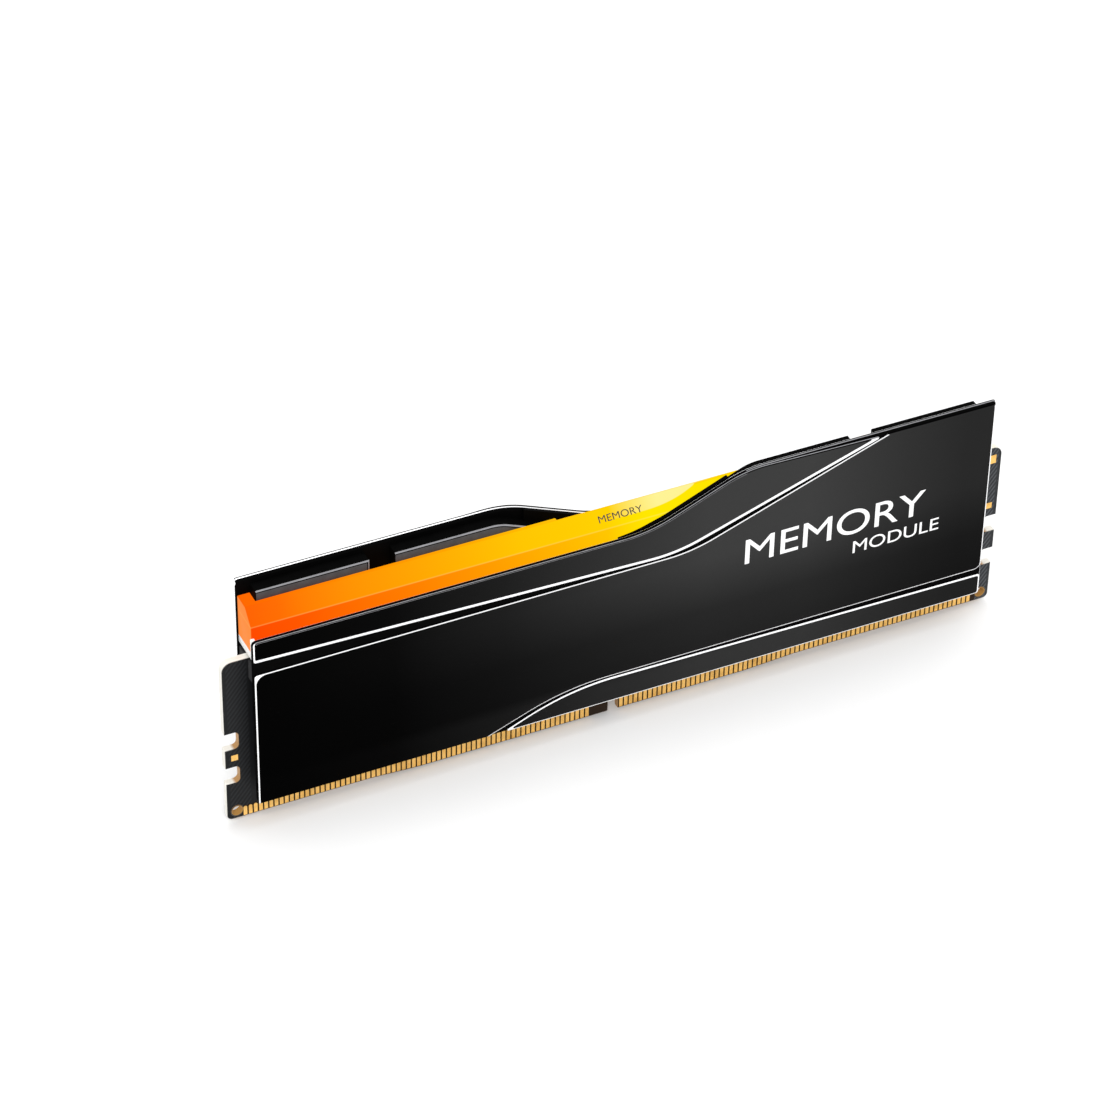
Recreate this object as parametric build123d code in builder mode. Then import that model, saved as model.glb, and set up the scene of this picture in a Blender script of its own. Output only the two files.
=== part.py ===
"""Memory module with two heat spreaders and a light bar, as separate pieces.

Frame: millimetres, +Z up, origin at the middle of the card edge (Z = 0).
X runs along the module, -Y is the front face, +Y the back face.
"""
import os

from build123d import *

# ---------------------------------------------------------------- board
BOARD_LENGTH = 133.35
BOARD_HEIGHT = 31.25
BOARD_THICK = 1.27
BOARD_FACE = BOARD_THICK / 2
EDGE_STEP = 0.5              # outer thirds of the card edge sit this much higher
EDGE_RAMP_LEFT = (-43.0, -34.5)
EDGE_RAMP_RIGHT = (22.0, 31.0)
BOTTOM_CORNER_R = 0.9
TOP_CORNER_R = 1.6
KEY_LEFT, KEY_RIGHT = -2.30, -0.46
KEY_HEIGHT = 3.9
SIDE_NOTCH_DEPTH = 2.3
SIDE_NOTCHES = ((16.0, 3.15), (9.3, 3.15))    # (centre Z, height)
NOTCH_R = 0.75
HOLE_X, HOLE_Z = 65.05, 2.1
HOLE_R = 0.85
PLATING = 0.20
EDGE_BEVEL = (0.18, 0.30)    # card edge, across and up

# ------------------------------------------------------------- contacts
PITCH = 0.85
LEFT_FIRST, LEFT_COUNT = -63.75, 69
RIGHT_FIRST, RIGHT_COUNT = 0.0, 75
PAD_WIDTH = 0.60
PAD_TOP = 2.55
PAD_THICK = 0.05
PAD_FOOT = 0.32              # bare strip between card edge and pads

# -------------------------------------------------------- heat spreaders
SPREADER_END = 62.75         # half length
SPREADER_BOTTOM = 5.0
SPREADER_LOW = 36.5          # top of the low stretch, beside the light bar
SPREADER_TOP = 43.4          # top of the tall stretch
RISE_START, RISE_END = 2.3, 18.7
RISE_FOOT_R, RISE_HEAD_R = 22.0, 17.0
OUTER_FACE = 3.9             # half thickness of the whole module
GROOVE_FLOOR = 3.65
INNER_FACE = 2.9
CORNER_R = 0.6
RIB_FACE = 0.75
RIB_TOP = 42.1
RIB_SLOPE_FOOT = 12.0        # where the first rib's sloped end starts
RIB_SLOPE_HEAD = 20.6
RIB_SLOPE_R = 8.0
RIB_1_END = 37.9
RIB_2_FROM, RIB_2_TO = 42.0, 60.3

# -------------------------------------------------------------- light bar
BAR_BOTTOM = 33.2
BAR_TOP = 40.5
BAR_SHOULDER = 38.1
BAR_FACE = 2.3
BAR_RIDGE = 0.1
REBATE_FLOOR = 38.5
REBATE_FACE = 0.65
REBATE_FROM, REBATE_TO = 11.5, 60.4
CARRIER_BOTTOM = 31.9
CARRIER_END = 62.4
LIP_FROM, LIP_TO = 62.0, 62.6
LIP_FACES = (2.3, 2.9)
LIP_TOP = 36.1
FOOT_XS = (-54.0, -18.0, 18.0, 54.0)
FOOT_W, FOOT_DEPTH = 6.0, 1.2
LED_COUNT = 10
LED_PITCH = 12.0
LED_W, LED_H, LED_THICK = 1.6, 1.5, 1.0
LED_Z = 30.3
LED_POCKET = (2.4, 1.4)      # along the module, across it
LED_POCKET_Y = -1.35

# ------------------------------------------------------- board components
CHIP_W, CHIP_H, CHIP_THICK = 7.6, 11.0, 0.80
BALL_HEIGHT = 0.30
BALL_R = 0.22
BALL_PITCH = 0.8
CHIP_Z = 15.2
CHIP_XS = (-55.5, -44.5, -33.5, -22.5, 22.5, 33.5, 44.5, 55.5)
STACK_FACE = BOARD_FACE + BALL_HEIGHT + CHIP_THICK
CHIP_CORNER_R = 0.15
POWER_SIZE, POWER_THICK, POWER_Z = 5.0, 0.85, 20.5
COIL_SIZE, COIL_THICK, COIL_R = 4.0, 1.2, 0.4
COIL_PLACES = ((-7.6, 21.4), (7.6, 21.4), (0.0, 26.8))
CLOCK_SIZE, CLOCK_THICK, CLOCK_Z = 4.0, 0.75, 12.2
HUB_W, HUB_H, HUB_THICK = 3.0, 2.0, 0.6
HUB_PLACE = (9.0, 13.0)
LIGHT_CHIP_SIZE, LIGHT_CHIP_THICK = 3.0, 0.7
LIGHT_CHIP_PLACE = (-11.5, 26.4)
SMALL_CHIP_R = 0.1
CAP_THICK = 0.5
CAP_COLUMNS = (-50.0, -39.0, -28.0, 28.0, 39.0, 50.0)
CAP_COLUMN_FROM, CAP_COLUMN_STEP = 10.6, 1.9
CAP_ROW_STEP, CAP_ROW_Z = 1.7, 16.4
BULK_X, BULK_FROM = 12.6, 17.0
SMALL_PART = (1.0, 0.5)      # long and short side of a small passive
BULK_PART = (1.6, 0.8)
RESISTOR_STEPS = (-2.4, -0.8, 0.8, 2.4)
RESISTOR_Z, RESISTOR_THICK = 6.6, 0.35

# -------------------------------------------------- pads between the parts
PAD_X, CHIP_PAD_W, CHIP_PAD_H = 39.0, 44.0, 10.6
POWER_PAD = 4.6
BACK_PAD_W, BACK_PAD_H, BACK_PAD_Z = 122.0, 14.0, 14.0
STRIP_Z, STRIP_H = 29.2, 3.4
FRONT_STRIP_X, FRONT_STRIP_W = 60.2, 4.4
BACK_STRIP_W = 124.8

FRONT = -1
BACK = 1


def edge_z(x):
    """Height of the card edge above Z = 0 at a place along the module."""
    low, high = EDGE_RAMP_LEFT
    if x < high:
        return EDGE_STEP * min(1.0, (high - x) / (high - low))
    low, high = EDGE_RAMP_RIGHT
    if x > low:
        return EDGE_STEP * min(1.0, (x - low) / (high - low))
    return 0.0


def wall_plane(y):
    """Plane facing the front, drawn with X to the right and Z up, at depth y."""
    return Plane(origin=(0, y, 0), x_dir=(1, 0, 0), z_dir=(0, -1, 0))


def end_plane(x):
    """Plane across the module at x, drawn with Y to the right and Z up."""
    return Plane(origin=(x, 0, 0), x_dir=(0, 1, 0), z_dir=(1, 0, 0))


def corners(sketch, places, radius):
    """Round the sketch corners that lie at the given places."""
    chosen = []
    for px, pz in places:
        nearest = min(
            sketch.vertices(),
            key=lambda v: (sketch.workplanes[0].to_local_coords(v).X - px) ** 2
            + (sketch.workplanes[0].to_local_coords(v).Y - pz) ** 2,
        )
        chosen.append(nearest)
    fillet(chosen, radius)


def keep(builder, label):
    """Name a finished piece and write its file."""
    builder.part.label = label
    export_step(builder.part, f"parts/{label}.step")


os.makedirs("parts", exist_ok=True)

# ================================================================ board
half = BOARD_LENGTH / 2
BOARD_OUTLINE = [
    (-half, EDGE_STEP),
    (EDGE_RAMP_LEFT[0], EDGE_STEP),
    (EDGE_RAMP_LEFT[1], 0.0),
    (EDGE_RAMP_RIGHT[0], 0.0),
    (EDGE_RAMP_RIGHT[1], EDGE_STEP),
    (half, EDGE_STEP),
    (half, BOARD_HEIGHT),
    (-half, BOARD_HEIGHT),
]
with BuildPart() as board:
    with BuildSketch(wall_plane(BOARD_FACE)) as outline:
        with BuildLine():
            Polyline(*BOARD_OUTLINE, close=True)
        make_face()
        corners(outline, [(-half, EDGE_STEP), (half, EDGE_STEP)], BOTTOM_CORNER_R)
        corners(outline, [(-half, BOARD_HEIGHT), (half, BOARD_HEIGHT)], TOP_CORNER_R)
        for side in (-1, 1):
            for notch_z, notch_h in SIDE_NOTCHES:
                with Locations((side * half, notch_z)):
                    RectangleRounded(2 * SIDE_NOTCH_DEPTH, notch_h, NOTCH_R, mode=Mode.SUBTRACT)
            with Locations((side * HOLE_X, HOLE_Z)):
                Circle(HOLE_R + PLATING, mode=Mode.SUBTRACT)
        key_w = KEY_RIGHT - KEY_LEFT
        key_x = (KEY_LEFT + KEY_RIGHT) / 2
        with Locations((key_x, 0)):
            SlotOverall(2 * KEY_HEIGHT, key_w, rotation=90, mode=Mode.SUBTRACT)
    extrude(amount=BOARD_THICK)
    card_edge = board.edges().filter_by(Axis.X).group_by(Axis.Z)[0]
    chamfer(card_edge, length=EDGE_BEVEL[0], length2=EDGE_BEVEL[1])
keep(board, "board")

with BuildPart() as hole_plating_left:
    with BuildSketch(wall_plane(BOARD_FACE)):
        with Locations((-HOLE_X, HOLE_Z)):
            Circle(HOLE_R + PLATING)
            Circle(HOLE_R, mode=Mode.SUBTRACT)
    extrude(amount=BOARD_THICK)
keep(hole_plating_left, "hole_plating_left")

with BuildPart() as hole_plating_right:
    with BuildSketch(wall_plane(BOARD_FACE)):
        with Locations((HOLE_X, HOLE_Z)):
            Circle(HOLE_R + PLATING)
            Circle(HOLE_R, mode=Mode.SUBTRACT)
    extrude(amount=BOARD_THICK)
keep(hole_plating_right, "hole_plating_right")


# ============================================================= contacts
def pad_row(first, count, side):
    """One run of contact pads drawn on one face of the board."""
    depth = -BOARD_FACE if side == FRONT else BOARD_FACE + PAD_THICK
    with BuildSketch(wall_plane(depth)) as row:
        for index in range(count):
            x = first + index * PITCH
            low = edge_z(x) + PAD_FOOT
            top = PAD_TOP - PAD_WIDTH / 2
            with Locations((x, (low + top) / 2)):
                Rectangle(PAD_WIDTH, top - low)
            with Locations((x, top)):
                Circle(PAD_WIDTH / 2)
    return row.sketch


with BuildPart() as contacts_front_left:
    extrude(pad_row(LEFT_FIRST, LEFT_COUNT, FRONT), amount=PAD_THICK)
keep(contacts_front_left, "contacts_front_left")

with BuildPart() as contacts_front_right:
    extrude(pad_row(RIGHT_FIRST, RIGHT_COUNT, FRONT), amount=PAD_THICK)
keep(contacts_front_right, "contacts_front_right")

with BuildPart() as contacts_back_left:
    extrude(pad_row(LEFT_FIRST, LEFT_COUNT, BACK), amount=PAD_THICK)
keep(contacts_back_left, "contacts_back_left")

with BuildPart() as contacts_back_right:
    extrude(pad_row(RIGHT_FIRST, RIGHT_COUNT, BACK), amount=PAD_THICK)
keep(contacts_back_right, "contacts_back_right")

# (centre X, centre Z, width, height) of the bare gold pads near the board ends
TEST_PADS = (
    (-65.15, 12.7, 1.1, 1.05),
    (65.15, 19.75, 1.1, 1.1),
    (65.15, 29.0, 1.1, 1.6),
)
with BuildPart() as test_pads:
    with BuildSketch(wall_plane(-BOARD_FACE)):
        for pad_x, pad_z, pad_w, pad_h in TEST_PADS:
            with Locations((pad_x, pad_z)):
                Rectangle(pad_w, pad_h)
    extrude(amount=PAD_THICK)
keep(test_pads, "test_pads")


# ===================================================== memory packages
CHIP_LOW = BOARD_FACE + BALL_HEIGHT
for number, chip_x in enumerate(CHIP_XS, start=1):
    with BuildPart() as memory_chip:
        with BuildSketch(wall_plane(-CHIP_LOW)):
            with Locations((chip_x, CHIP_Z)):
                RectangleRounded(CHIP_W, CHIP_H, CHIP_CORNER_R)
        extrude(amount=CHIP_THICK)
    keep(memory_chip, f"memory_chip_{number}")

with BuildPart() as solder_balls:
    with BuildSketch(wall_plane(-BOARD_FACE)):
        for chip_x in CHIP_XS:
            for column in (-3, -2, -1, 1, 2, 3):
                for line in range(-6, 7):
                    with Locations((chip_x + column * BALL_PITCH, CHIP_Z + line * BALL_PITCH)):
                        Circle(BALL_R)
    extrude(amount=BALL_HEIGHT)
keep(solder_balls, "solder_balls")

# ================================================== support components
with BuildPart() as power_ic:
    with BuildSketch(wall_plane(-BOARD_FACE)):
        with Locations((0, POWER_Z)):
            RectangleRounded(POWER_SIZE, POWER_SIZE, CHIP_CORNER_R)
    extrude(amount=POWER_THICK)
keep(power_ic, "power_ic")

with BuildPart() as power_inductors:
    with BuildSketch(wall_plane(-BOARD_FACE)):
        for coil_place in COIL_PLACES:
            with Locations(coil_place):
                RectangleRounded(COIL_SIZE, COIL_SIZE, COIL_R)
    extrude(amount=COIL_THICK)
keep(power_inductors, "power_inductors")

with BuildPart() as clock_driver:
    with BuildSketch(wall_plane(-BOARD_FACE)):
        with Locations((0, CLOCK_Z)):
            RectangleRounded(CLOCK_SIZE, CLOCK_SIZE, CHIP_CORNER_R)
    extrude(amount=CLOCK_THICK)
keep(clock_driver, "clock_driver")

with BuildPart() as spd_hub:
    with BuildSketch(wall_plane(-BOARD_FACE)):
        with Locations(HUB_PLACE):
            RectangleRounded(HUB_W, HUB_H, SMALL_CHIP_R)
    extrude(amount=HUB_THICK)
keep(spd_hub, "spd_hub")

with BuildPart() as light_controller:
    with BuildSketch(wall_plane(-BOARD_FACE)):
        with Locations(LIGHT_CHIP_PLACE):
            RectangleRounded(LIGHT_CHIP_SIZE, LIGHT_CHIP_SIZE, SMALL_CHIP_R)
    extrude(amount=LIGHT_CHIP_THICK)
keep(light_controller, "light_controller")

with BuildPart() as capacitors:
    with BuildSketch(wall_plane(-BOARD_FACE)):
        for gap_x in CAP_COLUMNS:
            for line in range(6):
                with Locations((gap_x, CAP_COLUMN_FROM + line * CAP_COLUMN_STEP)):
                    Rectangle(*SMALL_PART)
        for step in (-3, -2, -1, 1, 2, 3):
            with Locations((step * CAP_ROW_STEP, CAP_ROW_Z)):
                Rectangle(*SMALL_PART, rotation=90)
        for bulk_x in (-BULK_X, BULK_X):
            for line in range(3):
                with Locations((bulk_x, BULK_FROM + line * CAP_ROW_STEP)):
                    Rectangle(*BULK_PART)
    extrude(amount=CAP_THICK)
keep(capacitors, "capacitors")

with BuildPart() as resistors:
    with BuildSketch(wall_plane(-BOARD_FACE)):
        for chip_x in CHIP_XS:
            for step in RESISTOR_STEPS:
                with Locations((chip_x + step, RESISTOR_Z)):
                    Rectangle(*SMALL_PART)
    extrude(amount=RESISTOR_THICK)
keep(resistors, "resistors")

LED_XS = [(index - (LED_COUNT - 1) / 2) * LED_PITCH for index in range(LED_COUNT)]
with BuildPart() as leds:
    with BuildSketch(wall_plane(-BOARD_FACE)):
        for led_x in LED_XS:
            with Locations((led_x, LED_Z)):
                Rectangle(LED_W, LED_H)
    extrude(amount=LED_THICK)
keep(leds, "leds")

# ========================================================= thermal pads
with BuildPart() as thermal_pad_front_left:
    with BuildSketch(wall_plane(-STACK_FACE)):
        with Locations((-PAD_X, CHIP_Z)):
            Rectangle(CHIP_PAD_W, CHIP_PAD_H)
    extrude(amount=INNER_FACE - STACK_FACE)
keep(thermal_pad_front_left, "thermal_pad_front_left")

with BuildPart() as thermal_pad_front_right:
    with BuildSketch(wall_plane(-STACK_FACE)):
        with Locations((PAD_X, CHIP_Z)):
            Rectangle(CHIP_PAD_W, CHIP_PAD_H)
    extrude(amount=INNER_FACE - STACK_FACE)
keep(thermal_pad_front_right, "thermal_pad_front_right")

with BuildPart() as thermal_pad_power:
    with BuildSketch(wall_plane(-(BOARD_FACE + POWER_THICK))):
        with Locations((0, POWER_Z)):
            Rectangle(POWER_PAD, POWER_PAD)
    extrude(amount=INNER_FACE - BOARD_FACE - POWER_THICK)
keep(thermal_pad_power, "thermal_pad_power")

with BuildPart() as thermal_pad_back:
    with BuildSketch(wall_plane(INNER_FACE)):
        with Locations((0, BACK_PAD_Z)):
            Rectangle(BACK_PAD_W, BACK_PAD_H)
    extrude(amount=INNER_FACE - BOARD_FACE)
keep(thermal_pad_back, "thermal_pad_back")

with BuildPart() as edge_strip_front:
    with BuildSketch(wall_plane(-BOARD_FACE)):
        for strip_x in (-FRONT_STRIP_X, FRONT_STRIP_X):
            with Locations((strip_x, STRIP_Z)):
                Rectangle(FRONT_STRIP_W, STRIP_H)
    extrude(amount=INNER_FACE - BOARD_FACE)
keep(edge_strip_front, "edge_strip_front")

with BuildPart() as edge_strip_back:
    with BuildSketch(wall_plane(INNER_FACE)):
        with Locations((0, STRIP_Z)):
            Rectangle(BACK_STRIP_W, STRIP_H)
    extrude(amount=INNER_FACE - BOARD_FACE)
keep(edge_strip_back, "edge_strip_back")

# ======================================================= heat spreaders
SHELL = [
    (-SPREADER_END, SPREADER_BOTTOM),
    (SPREADER_END, SPREADER_BOTTOM),
    (SPREADER_END, SPREADER_TOP),
    (RISE_END, SPREADER_TOP),
    (RISE_START, SPREADER_LOW),
    (-SPREADER_END, SPREADER_LOW),
]
BAND = [
    (-62.7, 32.6),
    (8.15, 30.7),
    (43.0, 42.95),
    (18.7, 43.35),
    (2.3, 36.45),
    (-62.7, 36.45),
]
BAND_RADII = (0.4, 27.0, 0.0, RISE_HEAD_R, RISE_FOOT_R, 0.55)
PANEL = [
    (-62.5, 5.3),
    (-24.6, 5.3),
    (-11.8, 10.35),
    (62.5, 10.35),
    (62.5, 42.6),
    (43.6, 42.6),
    (9.4, 30.4),
    (-62.5, 30.1),
]
PANEL_RADII = (0.0, 0.0, 38.0, 1.25, 0.4, 0.0, 24.0, 1.2)
WEDGE = [
    (-21.9, 5.3),
    (62.3, 5.3),
    (62.3, 8.8),
    (-10.4, 9.8),
]
WEDGE_RADII = (0.0, 0.4, 0.5, 38.0)


RIB_1 = [
    (RIB_SLOPE_FOOT, REBATE_FLOOR),
    (RIB_1_END, REBATE_FLOOR),
    (RIB_1_END, RIB_TOP),
    (RIB_SLOPE_HEAD, RIB_TOP),
]
RIB_2 = [
    (RIB_2_FROM, REBATE_FLOOR),
    (RIB_2_TO, REBATE_FLOOR),
    (RIB_2_TO, RIB_TOP),
    (RIB_2_FROM, RIB_TOP),
]


def island(points, radii):
    """A raised area of the spreader's outer face, with its corners rounded."""
    with BuildSketch(wall_plane(-GROOVE_FLOOR)) as face:
        with BuildLine():
            Polyline(*points, close=True)
        make_face()
        for place, radius in zip(points, radii):
            if radius:
                corners(face, [place], radius)
    return face.sketch


with BuildPart() as heat_spreader_front:
    with BuildSketch(wall_plane(-INNER_FACE)) as shell:
        with BuildLine():
            Polyline(*SHELL, close=True)
        make_face()
        corners(shell, [SHELL[3]], RISE_HEAD_R)
        corners(shell, [SHELL[4]], RISE_FOOT_R)
        corners(shell, [SHELL[0], SHELL[1], SHELL[2], SHELL[5]], CORNER_R)
    extrude(amount=GROOVE_FLOOR - INNER_FACE)
    for outline, radii in ((BAND, BAND_RADII), (PANEL, PANEL_RADII), (WEDGE, WEDGE_RADII)):
        extrude(island(outline, radii), amount=OUTER_FACE - GROOVE_FLOOR)
    with BuildSketch(wall_plane(-RIB_FACE)) as ribs:
        with BuildLine():
            Polyline(*RIB_1, close=True)
        make_face()
        corners(ribs, [RIB_1[3]], RIB_SLOPE_R)
        with BuildLine():
            Polyline(*RIB_2, close=True)
        make_face()
    extrude(amount=INNER_FACE - RIB_FACE)
keep(heat_spreader_front, "heat_spreader_front")

with BuildPart() as heat_spreader_back:
    add(heat_spreader_front.part.rotate(Axis.Z, 180))
keep(heat_spreader_back, "heat_spreader_back")

# ============================================================ light bar
ROOF = [
    (-BAR_FACE, BAR_BOTTOM),
    (BAR_FACE, BAR_BOTTOM),
    (BAR_FACE, BAR_SHOULDER),
    (BAR_RIDGE, BAR_TOP),
    (-BAR_RIDGE, BAR_TOP),
    (-BAR_FACE, BAR_SHOULDER),
]


def bar_block(x_from, x_to, y_near, y_far, low, top, mode=Mode.ADD):
    """Upright block of the bar; the right half is the left one turned end for end."""
    for turn in (1, -1):
        middle = (-turn * (x_from + x_to) / 2, turn * (y_near + y_far) / 2, (low + top) / 2)
        with Locations(middle):
            Box(x_to - x_from, y_far - y_near, top - low, mode=mode)


with BuildPart() as light_bar:
    with BuildSketch(end_plane(-CARRIER_END)):
        with BuildLine():
            Polyline(*ROOF, close=True)
        make_face()
    extrude(amount=2 * CARRIER_END)
    bar_block(REBATE_FROM, REBATE_TO, REBATE_FACE, INNER_FACE, REBATE_FLOOR, BAR_TOP, Mode.SUBTRACT)
    bar_block(REBATE_FROM, CARRIER_END, 0.0, REBATE_FACE, BAR_BOTTOM, BAR_TOP)
    bar_block(REBATE_FROM, CARRIER_END, REBATE_FACE, INNER_FACE, BAR_BOTTOM, REBATE_FLOOR)
    bar_block(REBATE_TO, CARRIER_END, 0.0, INNER_FACE, BAR_BOTTOM, BAR_TOP)
keep(light_bar, "light_bar")

with BuildPart() as light_carrier:
    with Locations((0, 0, (CARRIER_BOTTOM + BAR_BOTTOM) / 2)):
        Box(2 * CARRIER_END, 2 * INNER_FACE, BAR_BOTTOM - CARRIER_BOTTOM)
    for foot_x in FOOT_XS:
        with Locations((foot_x, 0, (BOARD_HEIGHT + CARRIER_BOTTOM) / 2)):
            Box(FOOT_W, FOOT_DEPTH, CARRIER_BOTTOM - BOARD_HEIGHT)
    for led_x in LED_XS:
        with Locations((led_x, LED_POCKET_Y, (CARRIER_BOTTOM + BAR_BOTTOM) / 2)):
            Box(*LED_POCKET, BAR_BOTTOM - CARRIER_BOTTOM, mode=Mode.SUBTRACT)
    lip_height = LIP_TOP - BAR_BOTTOM
    for turn in (1, -1):
        lip_x = -turn * (LIP_FROM + LIP_TO) / 2
        lip_y = -turn * sum(LIP_FACES) / 2
        with Locations((lip_x, lip_y, BAR_BOTTOM + lip_height / 2)):
            Box(LIP_TO - LIP_FROM, LIP_FACES[1] - LIP_FACES[0], lip_height)
keep(light_carrier, "light_carrier")
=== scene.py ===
"""Memory module: its looks, built around the packed frame and laid out as an add-on."""
import math

import bmesh
import bpy
from bpy.props import FloatProperty, FloatVectorProperty, PointerProperty, StringProperty
from mathutils import Matrix, Quaternion, Vector


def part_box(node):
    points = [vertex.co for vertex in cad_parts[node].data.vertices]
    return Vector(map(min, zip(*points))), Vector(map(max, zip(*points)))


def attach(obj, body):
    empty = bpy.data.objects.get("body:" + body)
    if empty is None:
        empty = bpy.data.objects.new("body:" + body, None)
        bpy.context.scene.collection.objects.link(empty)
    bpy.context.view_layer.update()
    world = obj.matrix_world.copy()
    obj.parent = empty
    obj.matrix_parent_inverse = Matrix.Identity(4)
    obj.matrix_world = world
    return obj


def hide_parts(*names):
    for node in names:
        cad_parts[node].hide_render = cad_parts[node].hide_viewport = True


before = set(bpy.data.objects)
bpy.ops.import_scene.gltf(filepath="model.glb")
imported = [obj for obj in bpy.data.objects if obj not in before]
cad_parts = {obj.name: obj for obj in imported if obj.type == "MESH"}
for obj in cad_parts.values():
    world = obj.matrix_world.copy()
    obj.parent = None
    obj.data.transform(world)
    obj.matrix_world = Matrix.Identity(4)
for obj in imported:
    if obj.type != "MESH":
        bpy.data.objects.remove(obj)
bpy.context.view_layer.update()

bl_info = {
    "name": "Memory module",
    "version": (1, 0, 0),
    "blender": (4, 5, 0),
    "location": "3D View > Sidebar > Module",
    "description": "Builds a memory module with sculpted heat spreaders and a light bar",
    "category": "Object",
}

MM = 0.001
BAR_SHOULDER = 38.1 * MM
# Reach of the painted highlight line along the light bar's shoulder crest.
CREST_NEAR, CREST_FAR = 0.04 * MM, 0.12 * MM
BAR_FACE = 2.3
BAR_RUN, BAR_RISE = 2.2, 2.4          # the bar's upper slope, across and up
BAR_WORD_X, BAR_WORD_Y = -5.2, -1.55
LARGE_PLACE, SMALL_PLACE = (18.6, 24.9), (38.2, 20.9)
PRINT_THICK = 0.02 * MM
STRETCH = 1.15                        # width of the letters against their height
HOLE_X, HOLE_Z = 65.05 * MM, 2.1 * MM
BODY = "root"
SHARP = math.radians(28)

# Heat spreader, in millimetres, read from the frame where the frame says it.
SHELL_LOW, SHELL_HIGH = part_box("heat_spreader_front")
END = SHELL_HIGH.x / MM
OUTER = -SHELL_LOW.y / MM
FOOT = SHELL_LOW.z / MM
TALL = SHELL_HIGH.z / MM
WALL = 1.0
INNER = OUTER - WALL
FLOOR = OUTER - 0.25
FACE = OUTER - 0.012                  # leaves room for the printed words
LOW = 36.5
RISE_START, RISE_END = 2.3, 18.7
RISE_FOOT_R, RISE_HEAD_R = 22.0, 17.0
RIB_FACE, RIB_FOOT, RIB_TOP = 0.75, 38.5, 42.1
RIB_CUT = 0.15                        # depth of the chamfer on a rib's far edge
RIB_LINE, RIB_FRAME = 0.22, 0.40      # the grey painted-highlight line there, and the black painted shade up to the face
LIP_FACE = 2.34
LIP_FROM, LIP_TO = -2.6, 16.0         # stretch of the thicker wall beside the light bar
LIP_HEIGHT, LIP_FADE = 2.2, 6.0
RIM_FROM, RIM_TO = 3.2, 3.35          # depths of the bright line on the top of the wall
RIM_FALL, WALL_FALL = 0.1, 0.5        # how far the wall's inside drops at those depths
BAND_INSET = 0.04                     # the band stops this far from the plate's edge
SEAT = 0.1                            # how far a raised area reaches into the plate

# Spreader material slots: anodised face, bright cut, grey painted edge highlight, rib face, near-black
# painted shade of grooves and walls.
BLACK, BRIGHT, GREY, PALE, DEEP = range(5)


# ------------------------------------------------------------ settings
def length(label, text, value, low=0.0):
    """A length setting, given in millimetres and kept in metres."""
    return FloatProperty(name=label, description=text, default=value * MM, min=low, precision=5,
                         subtype="DISTANCE", unit="LENGTH")


def colour(label, text, value):
    """A colour setting."""
    return FloatVectorProperty(name=label, description=text, default=value, size=3, min=0.0, max=1.0,
                               subtype="COLOR")


def share(label, text, value, top=1.0):
    """A setting without a unit, from nothing up to a limit."""
    return FloatProperty(name=label, description=text, default=value, min=0.0, max=top, subtype="FACTOR")


class SpreaderSettings(bpy.types.PropertyGroup):
    """Sizes and colours of the two heat spreaders."""
    wide_cut: length("Wide bright cut", "Width of the bold bright-cut chamfers", 0.44)
    fine_cut: length("Fine bright cut", "Width of the fine bright-cut chamfers", 0.20)
    cut_depth: length("Cut depth", "How far a bright-cut chamfer falls", 0.09)
    edge_break: length("Edge break", "Chamfer along the plate's own edges", 0.10)
    anodised: colour("Anodised", "Colour of the anodised faces", (0.040, 0.040, 0.040))
    bright: colour("Bright cut", "Colour of the polished cuts", (0.97, 0.97, 0.98))
    # Painted highlight: the grey of the chamfers and thin strips along the spreaders' edges.
    edge_highlight: colour("Dim edge", "Colour of the lightly broken edges", (0.20, 0.20, 0.21))
    # Painted shade: near-black on the groove floors and the walls.
    groove: colour("Groove", "Colour of the groove floors and the walls", (0.0014, 0.0014, 0.0014))
    rib: colour("Rib face", "Colour of the rib faces that look at the light bar", (0.05, 0.05, 0.052))


class LightBarSettings(bpy.types.PropertyGroup):
    """Finish of the light bar."""
    # Scales the light from inside the bar, the painted highlight patch included.
    glow_and_painted_highlight: share("Glow", "Strength of the light from inside the bar", 1.0, 4.0)
    edge_break: length("Edge break", "Rounding of the bar's ridges", 0.10)


class CardSettings(bpy.types.PropertyGroup):
    """Finish of the circuit card and what is soldered to it."""
    mask: colour("Solder mask", "Colour of the card's faces", (0.030, 0.032, 0.035))
    laminate: colour("Laminate", "Colour of the card's bare edges", (0.72, 0.70, 0.64))
    gold: colour("Gold", "Colour of the contacts", (0.98, 0.54, 0.12))
    edge_break: length("Edge break", "Rounding of the card's edges", 0.05)
    hatch_pitch: length("Hatch pitch", "Distance between the copper hatch lines", 0.62)


class LegendSettings(bpy.types.PropertyGroup):
    """The plain generic words on the spreaders and the bar."""
    large: StringProperty(name="Large word", description="Word on the main panel", default="MEMORY")
    small: StringProperty(name="Small word", description="Second word on the main panel", default="MODULE")
    large_size: length("Large size", "Letter size of the large word", 6.9)
    small_size: length("Small size", "Letter size of the small word", 3.4)
    bar_size: length("Bar size", "Letter size of the word on the light bar", 1.6)


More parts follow.
